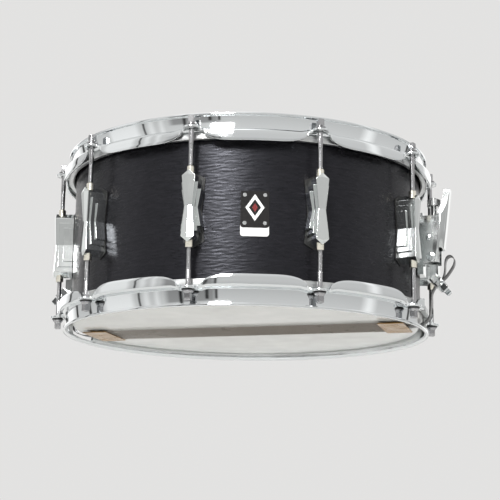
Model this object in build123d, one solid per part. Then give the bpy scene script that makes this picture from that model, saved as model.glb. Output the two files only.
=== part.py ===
from build123d import *
from math import cos, radians, sin
import os

# Snare drum, 14 by 6.5 inch, as an assembly of separate pieces.
#
# Every piece is modelled with Z = 0 at the drum's mid plane and is lifted by MID_HEIGHT when it is
# saved, so that the saved origin lies on the drum's axis at the rim that it rests on, with +Z up
# through the batter head. An azimuth of 0 faces -Y, where the badge is, and azimuths grow towards
# +X. Pieces on the shell's side are drawn in a local frame with X radially outwards, Y along the
# tangent and Z up, and are then turned to their azimuth.

# ---- Driving dimensions (mm) ----
SHELL_R = 176.2             # outside of a 14 inch shell
SHELL_HALF = 82.55          # half of the 6.5 inch depth, to the bearing edge
SHELL_WALL = 7.5
EDGE_R = 172.5              # circle that the head bears on
RIM_ABOVE_EDGE = 6.95       # the hoop's rim stands this much proud of the bearing edge
MID_HEIGHT = SHELL_HALF + RIM_ABOVE_EDGE

LUG_COUNT = 10
FIRST_LUG = 18.0            # azimuth of the first lug
ROD_R = 190.0               # circle that the tension rods stand on
ROD_RADIUS = 2.4
STRAINER_AZIMUTH = 72.0
BUTT_AZIMUTH = STRAINER_AZIMUTH + 180.0
VENT_AZIMUTH = 180.0

RUNNING = 0.05              # radial clearance of a pin that turns in a hole
HEAD_GAP = 0.02             # the film lies this far off the bearing edge
FILM = 0.25

HOOP_SHEET = 2.3            # thickness of the hoop's steel
HOOP_IN_R = 179.2
SKIRT_OUT_R = 188.8
LIP_R = 184.0               # outer edge of the rim's lip
LEDGE_Z = 71.0              # underside of the hoop's ledge, on top of the flesh hoop
EAR_Z = 73.0                # underside of the ears, which are raised above the ledge
SKIRT_Z = 61.5              # free edge of the hoop's skirt
EAR_TOP = EAR_Z + HOOP_SHEET
EAR_R = 7.5
ROD_HOLE_R = 3.2
GATE_HALF = 28.0            # half the width of the strap gate in the snare-side hoop

NUT_R = 3.7
NUT_END = 37.5              # height of the nut's open end
LUG_TIP = 33.5
GASKET = 0.8

STRAP_WIDTH = 13.0
STRAP_THICK = 0.5

WIRE_COUNT = 24
WIRE_PITCH = 2.35
WIRE_R = 0.65
WIRE_HALF_LENGTH = 150.0
END_PLATE_Z = -85.57        # underside of the snare wires' end plates
END_PLATE_THICK = 0.8

PIVOT_X = 191.0             # throw-off lever's pivot, in the local frame
PIVOT_Z = -17.5
PIVOT_R = 2.5
CRANK = 4.0                 # the crank pin lies this far out and up from the pivot
KNOB_X = 193.0              # axis of the fine-adjustment knob
CLAMP_X = 197.4             # middle of the strap clamp
CLAMP_Z = -42.3
CLAMP_TILT = 45.0           # the clamp's jaw faces outwards and down
CLAMP_SCREW_Y = 12.0

os.makedirs("parts", exist_ok=True)


# ---- Helpers ----
def save(name, *pieces):
    """Writes one sub-part, lifted from the mid plane to the resting rim."""
    lifted = [Pos(0, 0, MID_HEIGHT) * piece for piece in pieces]
    shape = lifted[0] if len(lifted) == 1 else Compound(children=solids_of(lifted))
    export_step(shape, f"parts/{name}.step")


def solids_of(pieces):
    return [solid for piece in pieces for solid in piece.solids()]


def at_azimuth(azimuth, piece):
    """Turns a piece from the local frame to its place round the shell."""
    return Rot(0, 0, azimuth - 90) * piece


def lug_azimuths():
    return [FIRST_LUG + 360 / LUG_COUNT * i for i in range(LUG_COUNT)]


def block(x0, x1, y0, y1, z0, z1):
    centre = Pos((x0 + x1) / 2, (y0 + y1) / 2, (z0 + z1) / 2)
    return centre * Box(x1 - x0, y1 - y0, z1 - z0)


def post(x, y, radius, z0, z1):
    """A round bar along Z."""
    return Pos(x, y, (z0 + z1) / 2) * Cylinder(radius, z1 - z0)


def bar_y(x, z, radius, y0, y1):
    """A round bar along the tangent."""
    return Pos(x, (y0 + y1) / 2, z) * Rot(90, 0, 0) * Cylinder(radius, y1 - y0)


def bar_x(y, z, radius, x0, x1):
    """A round bar along the radius."""
    return Pos((x0 + x1) / 2, y, z) * Rot(0, 90, 0) * Cylinder(radius, x1 - x0)


def side_plate(outline, y0, y1):
    """A plate cut to an (x, z) outline, lying between y0 and y1."""
    wire = Polyline([(x, y0, z) for x, z in outline], close=True)
    return extrude(make_face(wire), amount=y1 - y0, dir=(0, 1, 0))


def front_plate(outline, x0, x1):
    """A plate cut to a (y, z) outline, lying between x0 and x1."""
    wire = Polyline([(x0, y, z) for y, z in outline], close=True)
    return extrude(make_face(wire), amount=x1 - x0, dir=(1, 0, 0))


def turned(profile):
    """A ring with an (r, z) profile, turned about the drum's axis."""
    wire = Polyline([(r, 0, z) for r, z in profile], close=True)
    return revolve(make_face(wire), axis=Axis.Z)


def bent_strap(route, radii):
    """A flat strap that follows an (x, z) route with rounded corners."""
    path = FilletPolyline([(x, 0, z) for x, z in route], radius=radii)
    section = Plane(origin=path @ 0, x_dir=(0, 1, 0), z_dir=path % 0) * Rectangle(STRAP_WIDTH, STRAP_THICK)
    return sweep(section, path=path)


def other_side(piece):
    """The same piece on the snare side."""
    return mirror(piece, about=Plane.XY)


# ---- Shell, with its bearing edges, snare beds and holes ----
SCREW_Z = 14.0              # height of a lug's two mounting screws
SCREW_R = 2.4
BED_R = 500.0               # radius and depth of the snare beds
BED_DEPTH = 1.2
STRAINER_SCREWS = (22.0, -27.0)
BUTT_SCREWS = (-8.0, -24.0)


def make_shell():
    inner = SHELL_R - SHELL_WALL
    bevel = EDGE_R - inner
    side = [(SHELL_R, 0), (SHELL_R, SHELL_HALF - 5), (EDGE_R + 0.3, SHELL_HALF)]
    side += [(EDGE_R - 0.3, SHELL_HALF), (inner, SHELL_HALF - bevel), (inner, 0)]
    half = turned(side)
    shell = half + other_side(half)
    bed = Pos(0, 0, -SHELL_HALF - BED_R + BED_DEPTH) * Rot(0, 90, 0) * Cylinder(BED_R, 400)
    shell -= at_azimuth(STRAINER_AZIMUTH, bed)
    for azimuth in lug_azimuths():
        for z in (SCREW_Z, -SCREW_Z):
            shell -= at_azimuth(azimuth, bar_x(0, z, SCREW_R + 0.2, inner - 5, SHELL_R + 5))
    for azimuth, heights in ((STRAINER_AZIMUTH, STRAINER_SCREWS), (BUTT_AZIMUTH, BUTT_SCREWS)):
        for z in heights:
            shell -= at_azimuth(azimuth, bar_x(0, z, SCREW_R + 0.2, inner - 5, SHELL_R + 5))
    shell -= at_azimuth(VENT_AZIMUTH, bar_x(0, 0, 6.2, inner - 5, SHELL_R + 5))
    return shell


save("shell", make_shell())

# Flanged eyelet in the vent hole.
vent = bar_x(0, 0, 6.15, SHELL_R - SHELL_WALL - 1.2, SHELL_R + 1)
vent += bar_x(0, 0, 9.5, SHELL_R + 0.02, SHELL_R + 1.4)
vent -= bar_x(0, 0, 5.0, SHELL_R - SHELL_WALL - 3, SHELL_R + 3)
save("vent_grommet", at_azimuth(VENT_AZIMUTH, vent))


# ---- Badge: a dark plate over a pale backing that shows as a blank strip, on four pins ----
BADGE_HALF_WIDTH = 13.0
BADGE_TOP = 17.0
BADGE_BOTTOM = -17.0
BACKING_BOTTOM = -25.0
BADGE_CORNER = 2.6
BACKING_THICK = 0.6
BADGE_THICK = 1.2
PIN_PLACES = [(y, z) for y in (-9.2, 9.2) for z in (13.4, -12.8)]


def on_shell(outline, inner, outer):
    """A sheet cut to a (y, z) outline that follows the shell's curve."""
    low = min(z for y, z in outline)
    high = max(z for y, z in outline)
    ring = turned([(SHELL_R + inner, low), (SHELL_R + outer, low),
                   (SHELL_R + outer, high), (SHELL_R + inner, high)])
    return ring & front_plate(outline, SHELL_R - 10, SHELL_R + 10)


def badge_outline(bottom):
    width = BADGE_HALF_WIDTH
    corner = BADGE_CORNER
    right = [(width - corner, bottom), (width, bottom + corner), (width, BADGE_TOP)]
    return right + [(-y, z) for y, z in reversed(right)]


def badge_sheet(bottom, inner, outer):
    sheet = on_shell(badge_outline(bottom), inner, outer)
    for y, z in PIN_PLACES:
        sheet -= bar_x(y, z, 0.8, SHELL_R - 5, SHELL_R + 5)
    return at_azimuth(0, sheet)


def badge_pin(y, z):
    pin = bar_x(y, z, 0.75, SHELL_R - 0.2, SHELL_R + 1.3)
    pin += bar_x(y, z, 1.8, SHELL_R + BADGE_THICK + 0.02, SHELL_R + BADGE_THICK + 0.6)
    return at_azimuth(0, pin)


save("badge_backing", badge_sheet(BACKING_BOTTOM, 0.02, BACKING_THICK))
save("badge_plate", badge_sheet(BADGE_BOTTOM, BACKING_THICK + 0.01, BADGE_THICK))
save("badge_pins", *[badge_pin(y, z) for y, z in PIN_PLACES])


# ---- Heads: film with its collar, and the aluminium flesh hoop that holds it ----
COLLAR_R = 178.2
COLLAR_END = 66.0
FLESH_R = 183.9


def make_head_film():
    low = SHELL_HALF + HEAD_GAP
    slope_end = SHELL_HALF - 6.5
    outline = [(0, low), (EDGE_R + 0.5, low), (COLLAR_R, slope_end), (COLLAR_R, COLLAR_END)]
    outline += [(COLLAR_R + FILM, COLLAR_END), (COLLAR_R + FILM, slope_end + 0.1)]
    outline += [(EDGE_R + 0.65, low + FILM), (0, low + FILM)]
    return turned(outline)


def make_flesh_hoop():
    return turned([(178.9, 64.5), (FLESH_R, 64.5), (FLESH_R, LEDGE_Z), (178.9, LEDGE_Z)])


film = make_head_film()
flesh_hoop = make_flesh_hoop()
save("batter_head_film", film)
save("snare_head_film", other_side(film))
save("batter_flesh_hoop", flesh_hoop)
save("snare_flesh_hoop", other_side(flesh_hoop))


# ---- Triple-flanged hoops ----
def make_hoop():
    ledge_top = LEDGE_Z + HOOP_SHEET
    skirt_in = SKIRT_OUT_R - HOOP_SHEET
    wall_out = HOOP_IN_R + HOOP_SHEET
    lip_under = MID_HEIGHT - HOOP_SHEET
    corners = [(HOOP_IN_R, LEDGE_Z, 0.5), (skirt_in, LEDGE_Z, 0.7), (skirt_in, SKIRT_Z, 0.5)]
    corners += [(SKIRT_OUT_R, SKIRT_Z, 0.5), (SKIRT_OUT_R, ledge_top, 3.0), (wall_out, ledge_top, 0.7)]
    corners += [(wall_out, lip_under, 0.7), (LIP_R, lip_under, 0.5), (LIP_R, MID_HEIGHT, 0.5)]
    corners += [(HOOP_IN_R, MID_HEIGHT, 0.8)]
    outline = FilletPolyline([(r, 0, z) for r, z, bend in corners], close=True,
                             radius=[bend for r, z, bend in corners])
    hoop = revolve(make_face(outline), axis=Axis.Z)
    # The skirt rises in an arch at each ear.
    arch = front_plate([(-25.5, 60), (-12, LEDGE_Z - 0.01), (12, LEDGE_Z - 0.01), (25.5, 60)], 184, 196)
    arch = fillet(arch.edges().filter_by(Axis.X).group_by(Axis.Z)[-1], 7)
    nose = post(ROD_R, 0, EAR_R, EAR_Z, EAR_TOP)
    right = [(184, 13), (187.2, 13), (ROD_R + 1.5, 7.35)]
    left = [(x, -y) for x, y in reversed(right)]
    root = Polyline([(x, y, EAR_Z) for x, y in right + left], close=True)
    ear = nose + extrude(make_face(root), amount=HOOP_SHEET, dir=(0, 0, 1))
    for azimuth in lug_azimuths():
        hoop -= at_azimuth(azimuth, arch)
    for azimuth in lug_azimuths():
        hoop += at_azimuth(azimuth, ear)
        hoop -= at_azimuth(azimuth, post(ROD_R, 0, ROD_HOLE_R, LEDGE_Z - 2, EAR_TOP + 2))
    return hoop


hoop = make_hoop()
save("batter_hoop", hoop)

snare_hoop = other_side(hoop)
gate = block(170, 195, -GATE_HALF, GATE_HALF, -85.7, -60)
for azimuth in (STRAINER_AZIMUTH, BUTT_AZIMUTH):
    snare_hoop -= at_azimuth(azimuth, gate)
save("snare_hoop", snare_hoop)


# ---- Lugs: waisted castings in three steps, with a ridged front ----
def waisted(half_width, waist, half_height, tip=0.0):
    """An hourglass outline, narrowest at the middle; tip adds a gable at each end."""
    right = [(half_width, -half_height), (waist, 0), (half_width, half_height)]
    left = [(-y, -z) for y, z in right]
    if not tip:
        return right + left
    return right + [(0, tip)] + left + [(0, -tip)]


def make_lug():
    ridge_x = 197.3
    edge_x = 194.8
    back = SHELL_R + GASKET + 0.02
    lug = front_plate(waisted(6.5, 3.6, 28.0, LUG_TIP), back, ridge_x)
    for side in (1, -1):
        facet = Polyline([(ridge_x, 0, -40), (edge_x, side * 6.5, -40),
                          (edge_x, side * 8, -40), (ridge_x + 1, side * 8, -40), (ridge_x + 1, 0, -40)],
                         close=True)
        lug -= extrude(make_face(facet), amount=80, dir=(0, 0, 1))
    lug += front_plate(waisted(7.9, 5.0, 22.7), back, 192.0)
    lug += front_plate(waisted(9.3, 6.3, 17.2), back, 187.0)
    for side in (1, -1):
        bore_ends = sorted((side * 18.0, side * 40.0))
        lug -= post(ROD_R, 0, NUT_R + 0.05, *bore_ends)
        lug -= bar_x(0, side * SCREW_Z, SCREW_R + 0.05, SHELL_R - 1, 184.5)
    return lug


lug = make_lug()
for i, azimuth in enumerate(lug_azimuths()):
    save(f"lug_{i + 1:02d}", at_azimuth(azimuth, lug))


def make_nut(side):
    """A swivel nut: a collar that shows at the lug's tip, bored for the tension rod."""
    ends = sorted((side * 19.0, side * NUT_END))
    nut = post(ROD_R, 0, NUT_R, *ends) - post(ROD_R, 0, ROD_RADIUS + RUNNING, *ends)
    return nut


save("lug_nuts", *[at_azimuth(azimuth, make_nut(side)) for azimuth in lug_azimuths() for side in (1, -1)])


# ---- Gaskets between the shell and what is screwed to it ----
def gasket(outline, holes):
    sheet = front_plate(outline, SHELL_R - 8, SHELL_R + GASKET)
    sheet -= Cylinder(SHELL_R + 0.02, 200)
    for z in holes:
        sheet -= bar_x(0, z, SCREW_R + 0.2, SHELL_R - 5, SHELL_R + 5)
    return sheet


def rectangle(half_width, low, high):
    return [(half_width, low), (half_width, high), (-half_width, high), (-half_width, low)]


lug_gasket = gasket(waisted(10.0, 7.0, 29.5, 34.7), (SCREW_Z, -SCREW_Z))
strainer_gasket = gasket(rectangle(9.6, -34.6, 28.6), STRAINER_SCREWS)
butt_gasket = gasket(rectangle(13.6, -32.6, 0.6), BUTT_SCREWS)
gaskets = [at_azimuth(azimuth, lug_gasket) for azimuth in lug_azimuths()]
gaskets.append(at_azimuth(STRAINER_AZIMUTH, strainer_gasket))
gaskets.append(at_azimuth(BUTT_AZIMUTH, butt_gasket))
save("mount_gaskets", *gaskets)


def mounting_screw(z):
    """A pan-head screw with its washer, driven outwards from inside the shell."""
    inner = SHELL_R - SHELL_WALL
    screw = bar_x(0, z, SCREW_R, inner - 1.6, 182.0)
    screw += bar_x(0, z, 6.0, inner - 1.6, inner - 0.5)
    screw += bar_x(0, z, 4.2, inner - 4.4, inner - 1.6)
    return screw - block(inner - 5, inner - 3.2, -5, 5, z - 0.6, z + 0.6)


screws = [at_azimuth(azimuth, mounting_screw(z)) for azimuth in lug_azimuths() for z in (SCREW_Z, -SCREW_Z)]
screws += [at_azimuth(STRAINER_AZIMUTH, mounting_screw(z)) for z in STRAINER_SCREWS]
screws += [at_azimuth(BUTT_AZIMUTH, mounting_screw(z)) for z in BUTT_SCREWS]
save("mounting_screws", *screws)


# ---- Tension rods, each with the washer under its head ----
ROD_END = 22.0
ROD_FLANGE_R = 5.0
ROD_SQUARE = 5.9            # across the flats of the square head
ROD_HEAD_TOP = 85.5


def make_rod():
    washer = post(ROD_R, 0, 5.8, EAR_TOP + 0.02, EAR_TOP + 1.1)
    washer -= post(ROD_R, 0, 2.7, EAR_TOP, EAR_TOP + 2)
    rod = post(ROD_R, 0, ROD_RADIUS, ROD_END, EAR_TOP + 2)
    rod += post(ROD_R, 0, ROD_FLANGE_R, EAR_TOP + 1.12, EAR_TOP + 2.6)
    rod += Pos(ROD_R, 0, EAR_TOP + 3.35) * Cone(ROD_FLANGE_R, 3.6, 1.5)
    half = ROD_SQUARE / 2
    head = block(ROD_R - half, ROD_R + half, -half, half, EAR_TOP + 3.4, ROD_HEAD_TOP)
    rod += chamfer(head.faces().sort_by(Axis.Z)[-1].edges(), 0.6)
    return rod, washer


rod, washer = make_rod()
for i, azimuth in enumerate(lug_azimuths()):
    pair = [at_azimuth(azimuth, rod), at_azimuth(azimuth, washer)]
    save(f"batter_rod_{i + 1:02d}", *pair)
    save(f"snare_rod_{i + 1:02d}", *[other_side(piece) for piece in pair])


# ---- Throw-off: housing, lever, carriage and knob ----
HOUSING_HALF = 9.0
CHANNEL_HALF = 5.5
HOUSING_BACK = SHELL_R + GASKET + 0.2
HOUSING_FRONT = 197.0
CHEEK_IN = 9.6
CHEEK_OUT = 11.6
LEVER_TIP_HALF = 6.0
WEB_END = -8.0              # the lever's front is cut away below this height
KNOB_SCREW_R = 1.8          # thread of the knob's screw
KNOB_RADIUS = 6.65
KNOB_FLUTES = 24
FOOT_X = 183.0              # front of the housing's foot, which lies against the shell
PIN_R = 1.4
RIVET_X = 189.0
RIVET_Z = 2.0


def make_housing():
    housing = block(HOUSING_BACK, FOOT_X, -HOUSING_HALF, HOUSING_HALF, -34, 28)
    housing += block(FOOT_X, HOUSING_FRONT, -HOUSING_HALF, HOUSING_HALF, -21, 25)
    housing = fillet(housing.edges().filter_by(Axis.Y).group_by(Axis.X)[-1], 2.0)
    housing -= block(FOOT_X, 200, -CHANNEL_HALF, CHANNEL_HALF, -22, 20)
    housing -= post(KNOB_X, 0, 3.0, 10, 30)
    housing -= block(PIVOT_X + 2.3, 200, -20, 20, PIVOT_Z - 4.5, PIVOT_Z + 6.5)
    for side in (1, -1):
        ends = sorted((side * CHANNEL_HALF, side * 10))
        housing -= bar_y(PIVOT_X, PIVOT_Z, PIVOT_R, *ends)
    for z in STRAINER_SCREWS:
        housing -= bar_x(0, z, SCREW_R + 0.05, SHELL_R, 182.1)
    return housing


def make_pivot_screw(side):
    shaft_ends = sorted((side * (CHANNEL_HALF + 0.1), side * 12.0))
    head_ends = sorted((side * 11.9, side * 13.4))
    slot_ends = sorted((side * 12.8, side * 14))
    screw = bar_y(PIVOT_X, PIVOT_Z, PIVOT_R, *shaft_ends) + bar_y(PIVOT_X, PIVOT_Z, 4.3, *head_ends)
    return screw - block(PIVOT_X - 5, PIVOT_X + 5, *slot_ends, PIVOT_Z - 0.6, PIVOT_Z + 0.6)


def lever_body(inset):
    """The lever's outer form, or with an inset, the hollow inside its channel."""
    front = [(201.2 - inset, -22.8 - inset), (205.4 - inset, 10), (210 - inset, 52 - inset)]
    back = [(203.2, 52 - inset), (202.6, 40), (197.5, 25.8), (191.7, 16.4), (184, 4), (183.7, -22.5)]
    if inset:
        back = [(170, 52 - inset), (170, -22.5 - inset)]
    body = side_plate(front + back, -CHEEK_OUT + inset, CHEEK_OUT - inset)
    front_edges = body.edges().filter_by(lambda e: e.center().X > 201 and abs(e.center().Y) > 5)
    body = fillet([e for e in front_edges if e.length > 20], 6.5 - inset)
    narrow = CHEEK_OUT - inset
    tip = LEVER_TIP_HALF - inset
    taper = [(narrow, -30), (narrow, 26), (tip, 52), (-tip, 52), (-narrow, 26), (-narrow, -30)]
    return body & front_plate(taper, 160, 220)


def make_lever():
    lever = lever_body(0) - lever_body(CHEEK_OUT - CHEEK_IN)
    lever -= block(198.8, 215, -20, 20, -40, WEB_END)
    for side in (1, -1):
        cheek_ends = sorted((side * CHEEK_IN, side * CHEEK_OUT))
        pin_ends = sorted((side * 4.1, side * (CHEEK_IN + 0.5)))
        rivet_ends = sorted((side * CHEEK_OUT, side * (CHEEK_OUT + 0.9)))
        lever -= bar_y(PIVOT_X, PIVOT_Z, PIVOT_R + RUNNING, *cheek_ends)
        lever += bar_y(PIVOT_X + CRANK, PIVOT_Z + CRANK, PIN_R, *pin_ends)
        lever += bar_y(RIVET_X, RIVET_Z, 2.0, *rivet_ends)
    return lever


CARRIAGE_BOTTOM = -20.0
CARRIAGE_TOP = 8.0
POCKET_TOP = -8.0


def make_carriage():
    carriage = block(183.3, 197.4, -5.2, 5.2, CARRIAGE_BOTTOM, CARRIAGE_TOP)
    carriage -= block(190, 196, -3.3, 3.3, CARRIAGE_BOTTOM - 1, POCKET_TOP)
    carriage -= post(KNOB_X, 0, KNOB_SCREW_R + RUNNING, POCKET_TOP - 1, CARRIAGE_TOP + 1)
    slot_z = PIVOT_Z + CRANK
    for side in (1, -1):
        slot_ends = sorted((side * 3.9, side * 6))
        carriage -= block(193.2, 199, *slot_ends, slot_z - 1.8, slot_z + 1.8)
    return carriage


def make_knob():
    knob = post(KNOB_X, 0, KNOB_RADIUS, 35, 43)
    knob = chamfer(knob.edges().group_by(Axis.Z)[-1] + knob.edges().group_by(Axis.Z)[0], 0.8)
    for i in range(KNOB_FLUTES):
        around = Pos(KNOB_X, 0, 0) * Rot(0, 0, 360 / KNOB_FLUTES * i)
        knob -= around * post(KNOB_RADIUS + 0.1, 0, 0.35, 35.9, 42.1)
    knob += post(KNOB_X, 0, 2.6, CARRIAGE_TOP + 0.3, 35)
    knob += post(KNOB_X, 0, KNOB_SCREW_R, -23, CARRIAGE_TOP + 0.3)
    return knob


# ---- Strap clamp: block, plate and two square-headed screws ----
JAW = 0.55                  # half the gap that holds two layers of strap
CLAMP_HALF = 15.5           # half the width of the clamp's block and plate
CLAMP_SQUARE = 5.6          # across the flats of the clamp screws' heads
NECK_HALF = 5.0


def clamp_frame(piece):
    """Local X points out of the jaw and local Z runs up along the strap."""
    return Pos(CLAMP_X, 0, CLAMP_Z) * Rot(0, CLAMP_TILT, 0) * piece


def make_clamp_block():
    base = block(-6.6, -JAW, -CLAMP_HALF, CLAMP_HALF, -4.75, 4.75)
    base = fillet(base.edges().filter_by(Axis.X), 1.5)
    for y in (-CLAMP_SCREW_Y, CLAMP_SCREW_Y):
        base -= bar_x(y, 0, 2.0, -10, 5)
    return clamp_frame(base)


def make_sliding_clamp():
    neck = block(188.5, 197, -NECK_HALF, NECK_HALF, -40, -24)
    tongue = block(190.2, 195.8, -3.0, 3.0, -30, -12.3)
    neck += tongue
    neck -= post(KNOB_X, 0, KNOB_SCREW_R + RUNNING, -27, -10)
    return make_clamp_block() + neck


def make_clamp_plate():
    plate = block(JAW, 4.6, -CLAMP_HALF, CLAMP_HALF, -4.6, 4.6)
    plate = fillet(plate.edges().filter_by(Axis.X), 1.5)
    for y in (-CLAMP_SCREW_Y, CLAMP_SCREW_Y):
        plate -= bar_x(y, 0, 2.1, 0, 8)
    return clamp_frame(plate)


def make_clamp_screw(y):
    screw = bar_x(y, 0, 1.95, -6, 5)
    screw += bar_x(y, 0, 3.7, 4.62, 6)
    half = CLAMP_SQUARE / 2
    head = block(6, 12.5, y - half, y + half, -half, half)
    screw += chamfer(head.faces().sort_by(Axis.X)[-1].edges(), 0.6)
    return clamp_frame(screw)


def clamp_screws(azimuth):
    return [at_azimuth(azimuth, make_clamp_screw(y)) for y in (-CLAMP_SCREW_Y, CLAMP_SCREW_Y)]


strainer_pieces = {
    "throwoff_housing": make_housing(),
    "throwoff_lever": make_lever(),
    "throwoff_carriage": make_carriage(),
    "throwoff_knob": make_knob(),
    "throwoff_clamp_block": make_sliding_clamp(),
    "throwoff_clamp_plate": make_clamp_plate(),
}
for name, piece in strainer_pieces.items():
    save(name, at_azimuth(STRAINER_AZIMUTH, piece))
save("throwoff_pivot_screws", *[at_azimuth(STRAINER_AZIMUTH, make_pivot_screw(side)) for side in (1, -1)])
save("throwoff_clamp_screws", *clamp_screws(STRAINER_AZIMUTH))


# ---- Butt plate: the fixed clamp opposite the throw-off ----
BUTT_HALF = 13.0


def make_butt_base():
    base = block(HOUSING_BACK, FOOT_X, -BUTT_HALF, BUTT_HALF, -32, 0)
    base += block(FOOT_X - 1, 190, -8, 8, -32, -12)
    base += block(188.5, 197, -NECK_HALF, NECK_HALF, -40, -24)
    base += block(FOOT_X - 1, 192, -NECK_HALF, NECK_HALF, -32, -20)
    for z in BUTT_SCREWS:
        base -= bar_x(0, z, SCREW_R + 0.05, SHELL_R, 182.1)
    return base + make_clamp_block()


save("butt_base", at_azimuth(BUTT_AZIMUTH, make_butt_base()))
save("butt_clamp_plate", at_azimuth(BUTT_AZIMUTH, make_clamp_plate()))
save("butt_clamp_screws", *clamp_screws(BUTT_AZIMUTH))


# ---- Snare wires, their end plates and the straps ----
WIRE_Z = END_PLATE_Z + END_PLATE_THICK + WIRE_R + 0.02


def make_wire(index):
    y = (index - (WIRE_COUNT - 1) / 2) * WIRE_PITCH
    return bar_x(y, WIRE_Z, WIRE_R, -WIRE_HALF_LENGTH, WIRE_HALF_LENGTH)


def make_end_plate(side):
    ends = sorted((side * 140.0, side * 166.0))
    plate = block(*ends, -30, 30, END_PLATE_Z, END_PLATE_Z + END_PLATE_THICK)
    return fillet(plate.edges().filter_by(Axis.Z), 2.0)


save("snare_wires", *[at_azimuth(STRAINER_AZIMUTH, make_wire(i)) for i in range(WIRE_COUNT)])
save("snare_end_plates", *[at_azimuth(STRAINER_AZIMUTH, make_end_plate(side)) for side in (1, -1)])


def along_clamp(u, v):
    """The (x, z) point at u up along the strap and v out of the jaw."""
    c = cos(radians(CLAMP_TILT))
    s = sin(radians(CLAMP_TILT))
    return (CLAMP_X + u * s + v * c, CLAMP_Z + u * c - v * s)


STRAP_LAYER = 0.3           # each layer of strap lies this far from the middle of the jaw
on_plate_z = END_PLATE_Z + END_PLATE_THICK + STRAP_THICK / 2 + 0.02
to_end_plate = [(189.3, -60.0), (188.7, -71.5), (184.0, -80.0), (177.0, -83.35), (168.0, on_plate_z)]
to_end_plate += [(153.0, on_plate_z)]
run_radii = [30, 7, 7, 6, 10]

front_route = [along_clamp(-5.1, -STRAP_LAYER), (191.0, -50.0)] + to_end_plate
save("strap_front", at_azimuth(STRAINER_AZIMUTH, bent_strap(front_route, [8] + run_radii)))

rear_route = [along_clamp(4.6, -STRAP_LAYER), along_clamp(-6.0, -STRAP_LAYER), (191.0, -51.5)] + to_end_plate
save("strap_rear", at_azimuth(BUTT_AZIMUTH, bent_strap(rear_route, [5, 8] + run_radii)))

# The strap's tail leaves the clamp upwards, folds over in a loop and is tucked back into the jaw.
tail_route = [along_clamp(-4.6, -STRAP_LAYER), along_clamp(5.6, -STRAP_LAYER), (203.0, -25.5)]
tail_route += [(204.2, -17.4), (210.5, -16.8), (213.3, -26.0)]
tail_route += [along_clamp(7.5, STRAP_LAYER), along_clamp(-4.6, STRAP_LAYER)]
tail_radii = [4, 20, 3, 3.5, 4, 6]
save("strap_tail", at_azimuth(STRAINER_AZIMUTH, bent_strap(tail_route, tail_radii)))
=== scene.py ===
from math import atan2, cos, pi, radians, sin, sqrt, tau

import bmesh
import bpy
from mathutils import Matrix, Vector, noise


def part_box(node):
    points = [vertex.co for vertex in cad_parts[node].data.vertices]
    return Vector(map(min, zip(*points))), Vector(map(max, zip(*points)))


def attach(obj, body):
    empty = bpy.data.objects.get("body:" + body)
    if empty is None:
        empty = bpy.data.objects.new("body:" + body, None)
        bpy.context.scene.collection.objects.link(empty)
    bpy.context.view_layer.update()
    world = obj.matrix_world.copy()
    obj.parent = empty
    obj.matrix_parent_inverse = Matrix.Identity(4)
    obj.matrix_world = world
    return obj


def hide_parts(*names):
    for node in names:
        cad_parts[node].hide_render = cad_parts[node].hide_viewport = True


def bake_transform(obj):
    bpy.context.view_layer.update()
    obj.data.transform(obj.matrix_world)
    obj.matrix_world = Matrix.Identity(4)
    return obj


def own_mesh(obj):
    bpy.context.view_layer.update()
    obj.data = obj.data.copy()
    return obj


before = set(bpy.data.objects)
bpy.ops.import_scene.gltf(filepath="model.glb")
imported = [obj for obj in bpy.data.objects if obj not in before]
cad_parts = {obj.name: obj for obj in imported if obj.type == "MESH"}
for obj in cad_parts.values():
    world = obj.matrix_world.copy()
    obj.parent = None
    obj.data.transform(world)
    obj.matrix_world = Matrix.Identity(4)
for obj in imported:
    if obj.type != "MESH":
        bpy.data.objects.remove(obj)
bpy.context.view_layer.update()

# Shapes are drawn in millimetres with Z = 0 at the drum's mid plane. A piece on the shell's side is
# drawn in a local frame, X radially outwards, Y along the tangent, Z up, and turned to its azimuth.
# An azimuth of 0 faces -Y, where the badge is, and azimuths grow towards +X.
MM = 0.001
SHELL_LOW, SHELL_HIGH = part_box("shell")
MID = (SHELL_LOW.z + SHELL_HIGH.z) / 2
SHELL_R = (SHELL_HIGH.x - SHELL_LOW.x) / 2 / MM
SHELL_HALF = (SHELL_HIGH.z - SHELL_LOW.z) / 2 / MM
LUG_COUNT = 10
FIRST_LUG = 18.0
ROD_R = 190.0
STRAINER_AZIMUTH = 72.0
BUTT_AZIMUTH = 252.0
VENT_AZIMUTH = 180.0
UNTURNED = 90.0             # the azimuth at which the local frame is the part's own frame


# ---- Shapes: a shape is a list of points and a list of faces ----
def skin(rings, around=False):
    """A closed surface through rings of points. The ends are capped, or joined if it goes around."""
    count = len(rings[0])
    points = [point for ring in rings for point in ring]
    faces = []
    for i in range(len(rings) if around else len(rings) - 1):
        a = i * count
        b = (i + 1) % len(rings) * count
        for j in range(count):
            k = (j + 1) % count
            faces.append((a + j, a + k, b + k, b + j))
    if not around:
        last = (len(rings) - 1) * count
        faces.append(tuple(range(count)))
        faces.append(tuple(last + j for j in reversed(range(count))))
    return points, faces


def together(*shapes):
    points, faces = [], []
    for shape in shapes:
        start = len(points)
        points += shape[0]
        faces += [tuple(start + i for i in face) for face in shape[1]]
    return points, faces


def moved(shape, matrix):
    return [tuple(matrix @ Vector(point)) for point in shape[0]], shape[1]


def prism_x(outline, x0, x1):
    """A (y, z) outline drawn out along X."""
    return skin([[(x, y, z) for y, z in outline] for x in (x0, x1)])


def prism_z(outline, z0, z1):
    """An (x, y) outline drawn out along Z."""
    return skin([[(x, y, z) for x, y in outline] for z in (z0, z1)])


def box(x0, x1, y0, y1, z0, z1):
    return prism_z([(x0, y0), (x1, y0), (x1, y1), (x0, y1)], z0, z1)


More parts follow.
